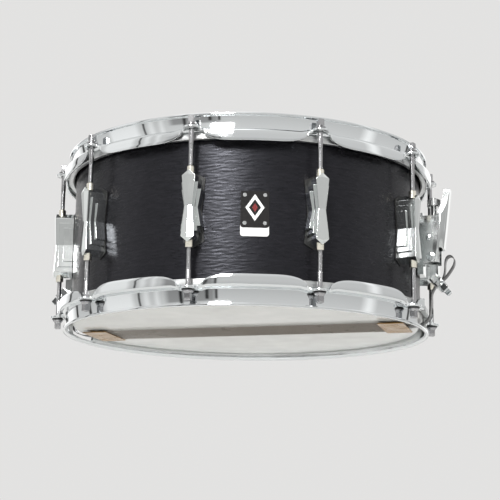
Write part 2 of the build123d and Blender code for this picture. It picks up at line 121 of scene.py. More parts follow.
def lathe(profile, x=0.0, y=0.0, steps=48):
    """A closed (r, z) profile turned about an upright axis."""
    turns = [tau * i / steps for i in range(steps)]
    return skin([[(x + r * cos(a), y + r * sin(a), z) for r, z in profile] for a in turns], around=True)


def rod_profile(radius, z0, z1, edge=0.0):
    """The profile of a plain bar with chamfered ends."""
    lower = [(0, z0), (radius - edge, z0), (radius, z0 + edge)]
    return lower + [(radius, z1 - edge), (radius - edge, z1), (0, z1)]


def to_x(x, y, z):
    """Lays a shape that was drawn along Z out along the radius, from that point."""
    return Matrix.Translation((x, y, z)) @ Matrix.Rotation(pi / 2, 4, "Y")


def to_y(x, y, z):
    return Matrix.Translation((x, y, z)) @ Matrix.Rotation(-pi / 2, 4, "X")


def other_side(shape):
    """The same shape on the snare side."""
    return [(x, y, -z) for x, y, z in shape[0]], [tuple(reversed(face)) for face in shape[1]]


def smooth(value):
    """0 below 0, 1 above 1 and an easy slope between."""
    value = min(1.0, max(0.0, value))
    return value * value * (3 - 2 * value)


def rounded(outline, radius, steps=4):
    """An outline with each corner turned into an arc."""
    result = []
    count = len(outline)
    for i in range(count):
        corner = Vector(outline[i])
        before = (Vector(outline[i - 1]) - corner).normalized()
        after = (Vector(outline[(i + 1) % count]) - corner).normalized()
        half = before.angle(after) / 2
        reach = radius / max(0.05, sin(half)) * cos(half)
        start = corner + before * reach
        end = corner + after * reach
        for step in range(steps + 1):
            share = step / steps
            mix = start.lerp(corner, share).lerp(corner.lerp(end, share), share)
            result.append(tuple(mix))
    return result


# ---- Pieces ----
def make_mesh(name, shape, material, sharp=35.0):
    mesh = bpy.data.meshes.new(name)
    mesh.from_pydata([(x * MM, y * MM, z * MM) for x, y, z in shape[0]], [], shape[1])
    edit = bmesh.new()
    edit.from_mesh(mesh)
    bmesh.ops.remove_doubles(edit, verts=edit.verts, dist=1e-7)
    bmesh.ops.recalc_face_normals(edit, faces=edit.faces)
    edit.to_mesh(mesh)
    edit.free()
    mesh.polygons.foreach_set("use_smooth", [True] * len(mesh.polygons))
    if sharp:
        mesh.set_sharp_from_angle(angle=radians(sharp))
    mesh.materials.append(material)
    return mesh


def placed(name, mesh, azimuth):
    """A piece at the origin, like a CAD node, with its place and turn in its own copy of the mesh."""
    piece = bpy.data.objects.new(name, mesh.copy())
    turn = Matrix.Rotation(radians(azimuth - UNTURNED), 4, "Z")
    piece.data.transform(Matrix.Translation((0, 0, MID)) @ turn)
    bpy.context.scene.collection.objects.link(piece)
    return piece


def add_piece(name, mesh, body, replaces=(), azimuth=UNTURNED, bevel=0.0):
    """Places a mesh at its azimuth; it rides on a body and stands for the CAD nodes it replaces."""
    piece = placed(name, mesh, azimuth)
    if bevel:
        add_bevel(piece, bevel)
    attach(piece, body)
    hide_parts(*replaces)
    return piece


def add_bevel(piece, width, angle=28.0):
    edges = piece.modifiers.new("edges", "BEVEL")
    edges.width = width * MM
    edges.segments = 2
    edges.limit_method = "ANGLE"
    edges.angle_limit = radians(angle)
    edges.harden_normals = True


def cut(piece, shape, azimuth=UNTURNED):
    """Takes a shape out of a piece for good."""
    mesh = bpy.data.meshes.new("cutter")
    mesh.from_pydata([(x * MM, y * MM, z * MM) for x, y, z in shape[0]], [], shape[1])
    edit = bmesh.new()
    edit.from_mesh(mesh)
    bmesh.ops.recalc_face_normals(edit, faces=edit.faces)
    edit.to_mesh(mesh)
    edit.free()
    cutter = placed("cutter", mesh, azimuth)
    taking = piece.modifiers.new("cut", "BOOLEAN")
    taking.operation = "DIFFERENCE"
    taking.solver = "EXACT"
    taking.object = cutter
    bpy.context.view_layer.update()
    result = bpy.data.meshes.new_from_object(piece.evaluated_get(bpy.context.evaluated_depsgraph_get()))
    piece.modifiers.remove(taking)
    piece.data = result
    bpy.data.objects.remove(cutter)


def dress(name, material, bevel=0.0):
    """Gives a CAD node that stays its material, and softens its edges."""
    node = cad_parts[name]
    node.data.materials.clear()
    node.data.materials.append(material)
    if bevel:
        weld = node.modifiers.new("weld", "WELD")
        weld.merge_threshold = 1e-6
        add_bevel(node, bevel)
    return node


def lug_azimuths():
    return [FIRST_LUG + 360 / LUG_COUNT * i for i in range(LUG_COUNT)]


# ---- Materials ----
class Paint:
    """A material and short ways to add nodes to it."""

    def __init__(self, name, color, metallic=0.0, roughness=0.5):
        self.material = bpy.data.materials.new(name)
        self.material.use_nodes = True
        self.nodes = self.material.node_tree.nodes
        self.links = self.material.node_tree.links
        self.shader = self.nodes["Principled BSDF"]
        self.set("Base Color", (*color, 1))
        self.set("Metallic", metallic)
        self.set("Roughness", roughness)

    def set(self, socket, value):
        self.shader.inputs[socket].default_value = value

    def place(self, stretch=(1, 1, 1)):
        """Points on the piece itself, in metres, stretched."""
        coordinates = self.nodes.new("ShaderNodeTexCoord")
        mapping = self.nodes.new("ShaderNodeMapping")
        mapping.inputs["Scale"].default_value = stretch
        self.links.new(coordinates.outputs["Object"], mapping.inputs["Vector"])
        return mapping.outputs["Vector"]

    def noise(self, scale, detail=3.0, stretch=(1, 1, 1), distortion=0.0):
        texture = self.nodes.new("ShaderNodeTexNoise")
        texture.inputs["Scale"].default_value = scale
        texture.inputs["Detail"].default_value = detail
        texture.inputs["Distortion"].default_value = distortion
        self.links.new(self.place(stretch), texture.inputs["Vector"])
        return texture.outputs["Fac"]

    def ramp(self, source, low, high, start=0.0, end=1.0):
        """Turns a value into colours from low to high."""
        ramp = self.nodes.new("ShaderNodeValToRGB")
        first, last = ramp.color_ramp.elements
        first.position, first.color = start, (*low, 1)
        last.position, last.color = end, (*high, 1)
        self.links.new(source, ramp.inputs["Fac"])
        return ramp.outputs["Color"]

    def span(self, source, low, high, start=0.0, end=1.0):
        """Turns a value into numbers from low to high."""
        span = self.nodes.new("ShaderNodeMapRange")
        for socket, value in (("From Min", start), ("From Max", end), ("To Min", low), ("To Max", high)):
            span.inputs[socket].default_value = value
        self.links.new(source, span.inputs["Value"])
        return span.outputs["Result"]

    def feed(self, source, socket):
        self.links.new(source, self.shader.inputs[socket])

    def bump(self, source, depth, strength=1.0):
        bump = self.nodes.new("ShaderNodeBump")
        bump.inputs["Strength"].default_value = strength
        bump.inputs["Distance"].default_value = depth * MM
        self.links.new(source, bump.inputs["Height"])
        self.feed(bump.outputs["Normal"], "Normal")


def plated(name, color, smoothest=0.03, roughest=0.1, wave=0.05):
    """Polished plating: faint smears in the polish and a slow waviness."""
    paint = Paint(name, color, metallic=1.0)
    paint.feed(paint.span(paint.noise(60, 5), smoothest, roughest, 0.3, 0.75), "Roughness")
    paint.bump(paint.noise(25, 2), wave, 0.25)
    return paint.material


def make_shell_wood():
    """Black stain over an open grain that runs round the shell."""
    paint = Paint("shell_wood", (0.008, 0.008, 0.009), roughness=0.3)
    grain = paint.noise(1, 4, (90, 90, 520), 0.6)
    pores = paint.noise(1, 6, (220, 220, 1500), 0.4)
    stain = paint.ramp(grain, (0.0022, 0.0021, 0.0026), (0.0075, 0.007, 0.0085), 0.35, 0.7)
    paint.feed(stain, "Base Color")
    paint.feed(paint.span(pores, 0.24, 0.4, 0.3, 0.7), "Roughness")
    paint.bump(pores, 0.06, 0.5)
    paint.set("Specular IOR Level", 0.32)
    paint.set("Specular Tint", (0.86, 0.88, 1.0, 1))
    return paint.material


def make_coated_film():
    """Sprayed white coating inside a clear edge."""
    paint = Paint("coated_film", (0.85, 0.85, 0.83), roughness=0.5)
    x, y, z = split(paint, paint.place())
    radius = math_node(paint, "SQRT", math_node(paint, "ADD", square(paint, x), square(paint, y)))
    sprayed = paint.span(radius, 1.0, 0.0, 0.1635, 0.1645)
    speckle = paint.noise(2600, 2)
    paint.feed(paint.ramp(sprayed, (0.45, 0.45, 0.43), (0.76, 0.76, 0.74)), "Base Color")
    paint.feed(paint.span(sprayed, 0.12, 0.62), "Roughness")
    paint.bump(math_node(paint, "MULTIPLY", speckle, sprayed), 0.08, 0.5)
    return paint.material


def split(paint, vector):
    separate = paint.nodes.new("ShaderNodeSeparateXYZ")
    paint.links.new(vector, separate.inputs[0])
    return separate.outputs


def math_node(paint, operation, first, second=None):
    node = paint.nodes.new("ShaderNodeMath")
    node.operation = operation
    for i, value in enumerate((first, second)):
        if isinstance(value, (int, float)):
            node.inputs[i].default_value = value
        elif value is not None:
            paint.links.new(value, node.inputs[i])
    return node.outputs[0]


def square(paint, value):
    return math_node(paint, "MULTIPLY", value, value)


def make_hazy_film():
    """Thin clear film, hazy, with faint smears."""
    paint = Paint("hazy_film", (0.62, 0.62, 0.59), roughness=0.16)
    haze = paint.ramp(paint.noise(9, 4), (0.55, 0.55, 0.52), (0.68, 0.68, 0.66), 0.3, 0.7)
    paint.feed(haze, "Base Color")
    paint.feed(paint.span(paint.noise(35, 5), 0.1, 0.24, 0.3, 0.7), "Roughness")
    paint.bump(paint.noise(14, 2), 0.12, 0.2)
    return paint.material


def make_plain(name, color, roughness, grain=900, depth=0.02, spread=0.06):
    """Moulded plastic, rubber or enamel: fine texture and a slightly uneven gloss."""
    paint = Paint(name, color, roughness=roughness)
    lighter = tuple(min(1, c * 1.25 + 0.002) for c in color)
    paint.feed(paint.ramp(paint.noise(40, 4), color, lighter, 0.35, 0.7), "Base Color")
    texture = paint.noise(grain, 3)
    paint.feed(paint.span(texture, roughness - spread, roughness + spread, 0.3, 0.7), "Roughness")
    paint.bump(texture, depth, 0.3)
    return paint.material


def make_strap_plastic():
    """Glossy woven-film strap with lines along its length."""
    paint = Paint("strap_plastic", (0.006, 0.006, 0.006), roughness=0.3)
    paint.set("Specular IOR Level", 0.3)
    lines = paint.noise(1, 2, (900, 900, 60))
    paint.feed(paint.span(lines, 0.2, 0.42, 0.3, 0.7), "Roughness")
    paint.bump(lines, 0.03, 0.4)
    return paint.material


CHROME = plated("chrome", (0.76, 0.785, 0.795), 0.02, 0.07)
LUG_CHROME = plated("lug_chrome", (0.72, 0.745, 0.74), 0.05, 0.12)
STRAINER_CHROME = plated("strainer_chrome", (0.6, 0.62, 0.62), 0.08, 0.18, 0.02)
ALUMINIUM = plated("aluminium", (0.62, 0.63, 0.63), 0.3, 0.42)
NICKEL = plated("nickel", (0.78, 0.75, 0.66), 0.16, 0.3)
ROD_STEEL = plated("rod_steel", (0.42, 0.42, 0.43), 0.14, 0.26)
SCREW_STEEL = plated("screw_steel", (0.7, 0.71, 0.71), 0.08, 0.2)
WIRE_STEEL = plated("wire_steel", (0.3, 0.27, 0.24), 0.25, 0.4)
BRASS = plated("brass", (0.34, 0.19, 0.05), 0.14, 0.36, 0.12)
SHELL_WOOD = make_shell_wood()
COATED_FILM = make_coated_film()
HAZY_FILM = make_hazy_film()
RUBBER = make_plain("rubber", (0.008, 0.008, 0.008), 0.5)
NYLON = make_plain("nylon", (0.006, 0.006, 0.006), 0.32)
STRAP_PLASTIC = make_strap_plastic()
BADGE_BLACK = make_plain("badge_black", (0.007, 0.006, 0.006), 0.12, 400, 0.004, 0.05)
BADGE_WHITE = make_plain("badge_white", (0.82, 0.82, 0.8), 0.28, 900, 0.006)
BADGE_RED = make_plain("badge_red", (0.16, 0.012, 0.012), 0.25, 900, 0.006)


# ---- Shell: relief of the grain in the outer face, bearing edges, vent hole ----
VENT_R = 6.2
GRAIN_ROWS = 214
GRAIN_COLUMNS = 428
GRAIN_DEPTH = 0.26


def grain_relief(x, y, z):
    """How far the open grain lies below the surface: short wavy strokes that run round the shell."""
    drift = 1.2 * noise.noise(Vector((x / 34, y / 34, z / 26)))
    stroke = noise.noise(Vector((x / 3.5, y / 3.5, (z + drift) / 1.2)))
    finer = noise.noise(Vector((x / 4, y / 4, (z + drift) / 0.9 + 40)))
    return GRAIN_DEPTH * (0.5 - 0.7 * stroke - 0.35 * finer)


def make_shell():
    straight = SHELL_HALF - 5
    wall = SHELL_R - 7.5
    inside = [(172.8, SHELL_HALF), (172.2, SHELL_HALF), (wall, SHELL_HALF - 3.8)]
    inside += [(r, -z) for r, z in reversed(inside)]
    rings = []
    for i in range(GRAIN_COLUMNS):
        a = tau * i / GRAIN_COLUMNS
        ring = []
        for row in range(GRAIN_ROWS + 1):
            z = -straight + 2 * straight * row / GRAIN_ROWS
            x, y = SHELL_R * cos(a), SHELL_R * sin(a)
            depth = min(GRAIN_DEPTH, max(0.0, grain_relief(x, y, z)))
            ring.append(((SHELL_R - depth) * cos(a), (SHELL_R - depth) * sin(a), z))
        ring += [(r * cos(a), r * sin(a), z) for r, z in inside]
        rings.append(ring)
    shape = skin(rings, around=True)
    mesh = make_mesh("shell_stained", shape, SHELL_WOOD, 60)
    shell = add_piece("shell_stained", mesh, "drum", ["shell"])
    cut(shell, moved(lathe(rod_profile(VENT_R, 0, 30)), to_x(160, 0, 0)), VENT_AZIMUTH)


def make_vent_eyelet():
    """The rolled eyelet of the vent."""
    profile = [(5.0, -1.3), (6.1, -1.3), (6.1, 7.6), (8.6, 7.62), (9.5, 8.1), (8.9, 8.75), (7.2, 9.0)]
    profile += [(5.6, 8.6), (5.0, 7.6)]
    eyelet = moved(lathe(profile), to_x(SHELL_R - 7.6, 0, 0))
    mesh = make_mesh("vent_eyelet", eyelet, SCREW_STEEL)
    add_piece("vent_eyelet", mesh, "drum", ["vent_grommet"], VENT_AZIMUTH)


make_shell()
make_vent_eyelet()


# ---- Badge: plate over a pale backing, on four rivets, with a plain rhombus ----
def curved_sheet(outline, inner, outer, steps=18):
    """A (y, z) outline bent round the shell, from inner to outer above its surface."""
    rows = sorted({round(z, 4) for y, z in outline})

    def half_at(z):
        crossings = []
        for i in range(len(outline)):
            (y0, z0), (y1, z1) = outline[i - 1], outline[i]
            if min(z0, z1) - 1e-6 <= z <= max(z0, z1) + 1e-6:
                share = 0 if abs(z1 - z0) < 1e-9 else (z - z0) / (z1 - z0)
                crossings += [y0 + (y1 - y0) * share] if abs(z1 - z0) > 1e-9 else [y0, y1]
        return min(crossings), max(crossings)

    forward = range(steps + 1)
    rings = []
    for z in rows:
        low, high = half_at(z)
        ring = []
        for radius, order in ((SHELL_R + inner, forward), (SHELL_R + outer, reversed(forward))):
            for step in order:
                a = (low + (high - low) * step / steps) / SHELL_R
                ring.append((radius * cos(a), radius * sin(a), z))
        rings.append(ring)
    return skin(rings)


def badge_outline(bottom, width=13.0, top=17.0, corner=2.6):
    arc = [(width - corner + corner * sin(pi * i / 12), bottom + corner - corner * cos(pi * i / 12))
           for i in range(7)]
    right = arc + [(width, top - 0.8), (width - 0.25, top - 0.25), (width - 0.8, top)]
    return right + [(-y, z) for y, z in reversed(right)]


def rhombus(centre_z, half_width, half_height):
    return [(0, centre_z - half_height), (half_width, centre_z),
            (0, centre_z + half_height), (-half_width, centre_z)]


def rhombus_ring(centre_z, outer, share, inner_r, outer_r):
    """The outline of a rhombus as a flat band that follows the shell."""
    rings = []
    corners = [(0, -1), (1, 0), (0, 1), (-1, 0)]
    steps = 6
    for i in range(4):
        for step in range(steps):
            y = corners[i][0] + (corners[(i + 1) % 4][0] - corners[i][0]) * step / steps
            z = corners[i][1] + (corners[(i + 1) % 4][1] - corners[i][1]) * step / steps
            ring = []
            for size, radius in ((1, inner_r), (1, outer_r), (share, outer_r), (share, inner_r)):
                a = y * outer[0] * size / SHELL_R
                r = SHELL_R + radius
                ring.append((r * cos(a), r * sin(a), centre_z + z * outer[1] * size))
            rings.append(ring)
    return skin(rings, around=True)


def make_badge():
    strip = curved_sheet(badge_outline(-25.0), 0.02, 0.6)
    backing = make_mesh("badge_backing_plate", strip, BADGE_WHITE, None)
    add_piece("badge_backing_plate", backing, "drum", ["badge_backing"], 0, 0.12)
    face = make_mesh("badge_face", curved_sheet(badge_outline(-17.0), 0.61, 1.2), BADGE_BLACK, None)
    add_piece("badge_face", face, "drum", ["badge_plate"], 0, 0.18)
    band = make_mesh("badge_rhombus", rhombus_ring(1.5, (8.6, 12.4), 0.64, 1.15, 1.28), BADGE_WHITE)
    add_piece("badge_rhombus", band, "drum", (), 0)
    lozenge = make_mesh("badge_lozenge", curved_sheet(rhombus(1.5, 2.6, 4.0), 1.15, 1.28, 4), BADGE_RED)
    add_piece("badge_lozenge", lozenge, "drum", (), 0)
    dome = [(0, -1.4), (0.75, -1.4), (0.75, 0.01), (1.8, 0.01), (1.8, 0.25), (1.45, 0.56), (0.8, 0.6)]
    dome += [(0.62, 0.32), (0, 0.26)]
    rivets = [moved(lathe(dome, steps=28), to_x(sqrt((SHELL_R + 1.2) ** 2 - y * y), y, z))
              for y in (-9.2, 9.2) for z in (13.4, -12.8)]
    mesh = make_mesh("badge_rivets", together(*rivets), SCREW_STEEL)
    add_piece("badge_rivets", mesh, "drum", ["badge_pins"], 0)


make_badge()


# ---- Heads: films that turn down over the bearing edge, and the rings that hold them ----
EDGE_START = 172.0
FILM_THICK = 0.24
FILM_END = 66.0


def make_film(flip):
    low = SHELL_HALF + 0.02
    high = low + FILM_THICK
    under = [(0.0, low), (60, low), (120, low), (160, low), (EDGE_START, low)]
    under += [(EDGE_START + 1.1, low - 0.25), (EDGE_START + 2.2, low - 1.0), (177.2, low - 5.0)]
    under += [(177.85, low - 6.4), (178.2, low - 8.2), (178.2, FILM_END)]
    top = [(178.43, FILM_END), (178.43, low - 8.0), (178.1, low - 6.2), (177.45, low - 4.8)]
    top += [(EDGE_START + 2.35, low - 0.82), (EDGE_START + 1.2, low), (EDGE_START, high)]
    top += [(160, high), (120, high), (60, high), (0.0, high)]
    shape = lathe(under + top, steps=180)
    return other_side(shape) if flip else shape


def make_flesh_ring(flip):
    outline = rounded([(178.9, 64.5), (183.9, 64.5), (183.9, 70.98), (178.9, 70.98)], 0.9)
    shape = lathe(outline, steps=240)
    return other_side(shape) if flip else shape


def make_heads():
    for side, material in (("batter", COATED_FILM), ("snare", HAZY_FILM)):
        film = make_mesh(f"{side}_head", make_film(side == "snare"), material, 50)
        add_piece(f"{side}_head", film, "drum", [f"{side}_head_film"])
    for side in ("batter", "snare"):
        name = f"{side}_flesh_ring"
        ring = make_mesh(name, make_flesh_ring(side == "snare"), ALUMINIUM)
        add_piece(name, ring, f"{side}_hoop_assembly", [f"{side}_flesh_hoop"])


make_heads()


# ---- Triple-flanged hoops: one sheet, bent, whose skirt swings out flat into an ear at each rod ----
SHEET_HALF = 1.15
WALL_R = 180.35             # middle of the sheet in the upright wall
LIP_Z = 88.35
LIP_R = 183.99
LEDGE_Z = 72.15             # middle of the sheet in the ledge, and in the ears raised above it
EAR_Z = 74.15
BEND = 1.85
RISE_R = 183.2              # the ledge starts to rise to the ears here
SKIRT_R = 187.65
SKIRT_END = 61.5
EAR_R = 7.5
EAR_FLAT = 6.5              # the ear is flat this far to each side, and has swung down at EAR_DOWN
EAR_DOWN = 13.0
ARCH_START = 8.0            # the skirt's edge is highest here and back to its full depth at ARCH_END
ARCH_END = 44.0


def bend_path(centre, radius, start, end, steps):
    """Points and headings along a bend of the sheet, in degrees, turning from start to end."""
    turn = 1 if end > start else -1
    points = []
    for i in range(steps + 1):
        heading = radians(start + (end - start) * i / steps)
        r = centre[0] + radius * turn * sin(heading)
        z = centre[1] - radius * turn * cos(heading)
        points.append((r, z, heading))
    return points


def hoop_section(t):
    """The hoop's outline at t mm along the rim from an ear."""
    t = abs(t)
    drop = 90 * smooth((t - EAR_FLAT) / (EAR_DOWN - EAR_FLAT))
    to_rim = sqrt(EAR_R * EAR_R - t * t) if t < EAR_R else 0.0
    bend_r = SKIRT_R - BEND
    ear = (ROD_R - bend_r) * (1 - smooth((t - EAR_R) / 5)) + to_rim
    lift = (EAR_Z - LEDGE_Z) * (1 - smooth((t - EAR_R) / 12))
    full = LEDGE_Z + lift - BEND - SKIRT_END
    away = min(1.0, max(0.0, (t - ARCH_START) / (ARCH_END - ARCH_START)))
    arch = 0.7 + (full - 0.7) * (1 - (1 - away) ** 3.2)
    reach = max(ear, arch)
    wall_bend_r = WALL_R + BEND
    path = [(LIP_R, LIP_Z, pi)]
    path += bend_path((wall_bend_r, LIP_Z - BEND), BEND, 180, 270, 5)
    path += bend_path((wall_bend_r, LEDGE_Z + BEND), BEND, 270, 360, 5)
    width = bend_r - RISE_R
    for share in (0.0, 0.25, 0.5, 0.75):
        slope = lift / width * 6 * share * (1 - share)
        path.append((RISE_R + width * share, LEDGE_Z + lift * smooth(share), tau + atan2(slope, 1)))
    path += bend_path((bend_r, LEDGE_Z + lift - BEND), BEND, 0, -max(drop, 0.01), 7)
    r, z, heading = path[-1]
    for share in (0.34, 0.67, 1.0):
        path.append((r + reach * share * cos(heading), z + reach * share * sin(heading), heading))
    return thick(path, SHEET_HALF, 0.45)


def thick(path, half, edge):
    """The outline of a sheet that follows a path, with rounded edges."""
    def beside(point, side, back=0.0):
        r, z, heading = point
        return (r - side * sin(heading) - back * cos(heading), z + side * cos(heading) - back * sin(heading))

    def rounded_end(point, side, back):
        """From the sheet's face at one side to the middle of its end."""
        cut_side = side - side / half * edge
        soft_side = side - side / half * edge * 0.3
        return [beside(point, side, back), beside(point, soft_side, back * 0.3), beside(point, cut_side)]

    last, first = path[-1], path[0]
    outline = [beside(p, half) for p in path[1:-1]]
    outline += rounded_end(last, half, edge)
    outline += reversed(rounded_end(last, -half, edge))
    outline += [beside(p, -half) for p in reversed(path[1:-1])]
    outline += rounded_end(first, -half, -edge)
    outline += reversed(rounded_end(first, half, -edge))
    return outline


def hoop_stations():
    """Where the hoop is sampled between one ear and the next, finely near the ears."""
    half = pi * ROD_R / LUG_COUNT
    near = [i * 0.62 for i in range(50)]
    far = [near[-1] + (half - near[-1]) * i / 13 for i in range(1, 14)]
    up = near + far
    down = [2 * half - t for t in reversed(up[1:-1])]
    return [(t, t) for t in up] + [(t, 2 * half - t) for t in down]


def make_hoop(flip):
    rings = []
    for azimuth in lug_azimuths():
        for along, from_ear in hoop_stations():
            a = radians(azimuth - 90) + along / ROD_R
            rings.append([(r * cos(a), r * sin(a), z) for r, z in hoop_section(from_ear)])
    shape = skin(rings, around=True)
    return other_side(shape) if flip else shape


def make_hoops():
    for side, body in (("batter", "batter_hoop_assembly"), ("snare", "snare_hoop_assembly")):
        flip = side == "snare"
        mesh = make_mesh(f"{side}_hoop_chromed", make_hoop(flip), CHROME, None)
        hoop = add_piece(f"{side}_hoop_chromed", mesh, body, [f"{side}_hoop"])
        hole = lathe(rod_profile(3.2, 60, 78), x=ROD_R, steps=24)
        holes = []
        for azimuth in lug_azimuths():
            turn = Matrix.Rotation(radians(azimuth - UNTURNED), 4, "Z")
            holes.append(moved(other_side(hole) if flip else hole, turn))
        if flip:
            gate = prism_x(rounded([(-28, -85.7), (28, -85.7), (28, -50), (-28, -50)], 4.0), 170, 196)
            for azimuth in (STRAINER_AZIMUTH, BUTT_AZIMUTH):
                holes.append(moved(gate, Matrix.Rotation(radians(azimuth - UNTURNED), 4, "Z")))
        cut(hoop, together(*holes))
        hoop.data.set_sharp_from_angle(angle=radians(38))


make_hoops()


# ---- Lugs: three steps, each an hourglass, the front one cut to a ridge ----
RIDGE_X = 197.25
RIDGE_WAIST_X = 195.5
FRONT_EDGE_X = 196.1
WAIST_EDGE_X = 194.86
LUG_BACK = 177.02


def hourglass(half_width, waist, half_height):
    right = [(half_width, -half_height), (waist, 0), (half_width, half_height)]
    return right + [(-y, -z) for y, z in right]


def make_lug_front():
    """The front step: four long facets that meet in a ridge, and a gable at each end."""
    half, waist, high, tip = 6.5, 3.6, 28.0, 33.5
    points = []
    side = [(half, -high), (waist, 0), (half, high), (0, tip)]
    side += [(-y, -z) for y, z in side]
    for y, z in side:
        points.append((LUG_BACK, y, z))
    for y, z in side:
        points.append((FRONT_EDGE_X if z else WAIST_EDGE_X, y, z))
    points += [(RIDGE_X, 0, high + 1.0), (RIDGE_WAIST_X, 0, 0), (RIDGE_X, 0, -high - 1.0)]
    faces = [(i, (i + 1) % 8, 8 + (i + 1) % 8, 8 + i) for i in range(8)]
    faces.append(tuple(reversed(range(8))))
    top, middle, low = 16, 17, 18
    faces += [(8, 9, middle, low), (9, 10, top, middle), (10, 11, top), (11, 12, top)]
    faces += [(12, 13, middle, top), (13, 14, low, middle), (14, 15, low), (15, 8, low)]
    return points, faces


def make_lugs():
    steps = [make_lug_front()]
    steps.append(prism_x(hourglass(7.9, 5.0, 22.7), LUG_BACK, 192.0))
    steps.append(prism_x(hourglass(9.3, 6.3, 17.2), LUG_BACK, 187.0))
    mesh = make_mesh("lug_casting", together(*steps), LUG_CHROME, 4)
    nut = [(2.5, 19.0), (3.7, 19.0), (3.7, 36.9), (3.3, 37.5), (2.8, 37.5), (2.5, 37.1)]
    nuts = []
    for i, azimuth in enumerate(lug_azimuths()):
        lug = f"{i + 1:02d}"
        add_piece(f"lug_casting_{lug}", mesh, "drum", [f"lug_{lug}"], azimuth, 0.42)
        turn = Matrix.Rotation(radians(azimuth - UNTURNED), 4, "Z")
        nuts.append(moved(lathe(nut, x=ROD_R, steps=32), turn))
        nuts.append(moved(other_side(lathe(nut, x=ROD_R, steps=32)), turn))
    mesh = make_mesh("swivel_nuts", together(*nuts), NICKEL)
    add_piece("swivel_nuts", mesh, "drum", ["lug_nuts"])


make_lugs()


# ---- Tension rods with threads, and their washers ----
THREAD_PITCH = 1.06
THREAD_DEPTH = 0.42
THREAD_START = 36.0
THREAD_END = 57.2
ROD_RADIUS = 2.4
HEAD_SEAT = 75.3            # height of the ear's face, on which the washer lies
HEAD_TOP = 85.5


def make_rod():
    sides = 20
    rows = [22.0, THREAD_START] + [THREAD_START + i * THREAD_PITCH / 5 for i in range(1, 100)] + [58.5, 75.5]
    rings = []
    for z in rows:
        ring = []
        for i in range(sides):
            a = tau * i / sides
            phase = (z / THREAD_PITCH - i / sides) % 1.0
            threaded = THREAD_START < z < THREAD_END
            cut_depth = THREAD_DEPTH * (1 - abs(2 * phase - 1)) if threaded else 0.0
            r = ROD_RADIUS - cut_depth
            ring.append((ROD_R + r * cos(a), r * sin(a), z))
        rings.append(ring)
    shaft = skin(rings)
    collar = [(0, 1.12), (4.7, 1.12), (5.0, 1.4), (5.0, 2.3), (4.75, 2.6), (4.1, 3.1), (3.7, 3.7)]
    collar += [(3.6, 4.1), (0, 4.1)]
    head = lathe([(r, HEAD_SEAT + z) for r, z in collar], x=ROD_R, steps=36)
    square_head = []
    for half, z in ((2.95, HEAD_SEAT + 3.4), (2.95, HEAD_TOP - 0.6), (2.75, HEAD_TOP - 0.2), (2.3, HEAD_TOP)):
        edge = 0.45
        corners = [(half - edge, -half), (half, edge - half), (half, half - edge), (half - edge, half)]
        corners += [(edge - half, half), (-half, half - edge), (-half, edge - half), (edge - half, -half)]
        square_head.append([(ROD_R + x, y, z) for x, y in corners])
    return together(shaft, head, skin(square_head))


def make_rods():
    rod = make_rod()
    washer = [(2.7, 0.03), (5.6, 0.03), (5.8, 0.25), (5.8, 0.85), (5.55, 1.09), (2.7, 1.09)]
    washer = lathe([(r, HEAD_SEAT + z) for r, z in washer], x=ROD_R, steps=36)
    for side in ("batter", "snare"):
        flip = side == "snare"
        rod_mesh = make_mesh(f"{side}_rod", other_side(rod) if flip else rod, ROD_STEEL, 32)
        washer_mesh = make_mesh(f"{side}_washer", other_side(washer) if flip else washer, NYLON)
        for i, azimuth in enumerate(lug_azimuths()):
            node = f"{side}_rod_{i + 1:02d}"
            add_piece(f"{side}_tension_rod_{i + 1:02d}", rod_mesh, node, [node], azimuth)
            add_piece(f"{side}_washer_{i + 1:02d}", washer_mesh, node, (), azimuth)


make_rods()


# ---- Snare wires: coils, end plates and straps ----
WIRE_COUNT = 24
WIRE_PITCH = 2.35
WIRE_Z = -84.10
COIL_R = 0.46
STRAND_R = 0.19
COIL_LEAD = 1.5
WIRE_HALF_LENGTH = 150.0
END_PLATE_Z = -85.57
END_PLATE_TOP = -84.77


def make_coils(wires):
    """Each wire is a long open coil of one strand."""
    points, faces = [], []
    per_turn, sides = 6, 4
    count = int(2 * WIRE_HALF_LENGTH / COIL_LEAD * per_turn)
    for wire in wires:
        y = (wire - (WIRE_COUNT - 1) / 2) * WIRE_PITCH
        rings = []
        for i in range(count + 1):
            a = tau * (i / per_turn + wire * 0.37)
            x = -WIRE_HALF_LENGTH + i * COIL_LEAD / per_turn
            ring = []
            for k in range(sides):
                b = tau * k / sides
                r = COIL_R + STRAND_R * cos(b)
                ring.append((x + STRAND_R * sin(b), y + r * cos(a), WIRE_Z + r * sin(a)))
            rings.append(ring)
        strand = skin(rings)
        start = len(points)
        points += strand[0]
        faces += [tuple(start + i for i in face) for face in strand[1]]
    return points, faces


def make_end_plate(side):
    outline = [(side * 140, -30), (side * 166, -30), (side * 166, 30), (side * 140, 30)]
    plate = prism_z(rounded(outline, 2.4), END_PLATE_Z, END_PLATE_TOP)
    solder = [prism_z(rounded([(side * 146, y - 0.9), (side * 150.5, y - 0.9), (side * 150.5, y + 0.9),
                               (side * 146, y + 0.9)], 0.5), END_PLATE_TOP - 0.1, END_PLATE_TOP + 0.35)
              for y in [(i - (WIRE_COUNT - 1) / 2) * WIRE_PITCH for i in range(WIRE_COUNT)]]
    return together(plate, *solder)


def make_wires():
    half = WIRE_COUNT // 2
    for name, wires in (("front", range(half)), ("rear", range(half, WIRE_COUNT))):
        coils = make_mesh(f"snare_coils_{name}", make_coils(wires), WIRE_STEEL, None)
        add_piece(f"snare_coils_{name}", coils, "snares", ["snare_wires"], STRAINER_AZIMUTH)
    plates = make_mesh("snare_strip_ends", together(make_end_plate(1), make_end_plate(-1)), BRASS)
    add_piece("snare_strip_ends", plates, "snares", ["snare_end_plates"], STRAINER_AZIMUTH)


make_wires()

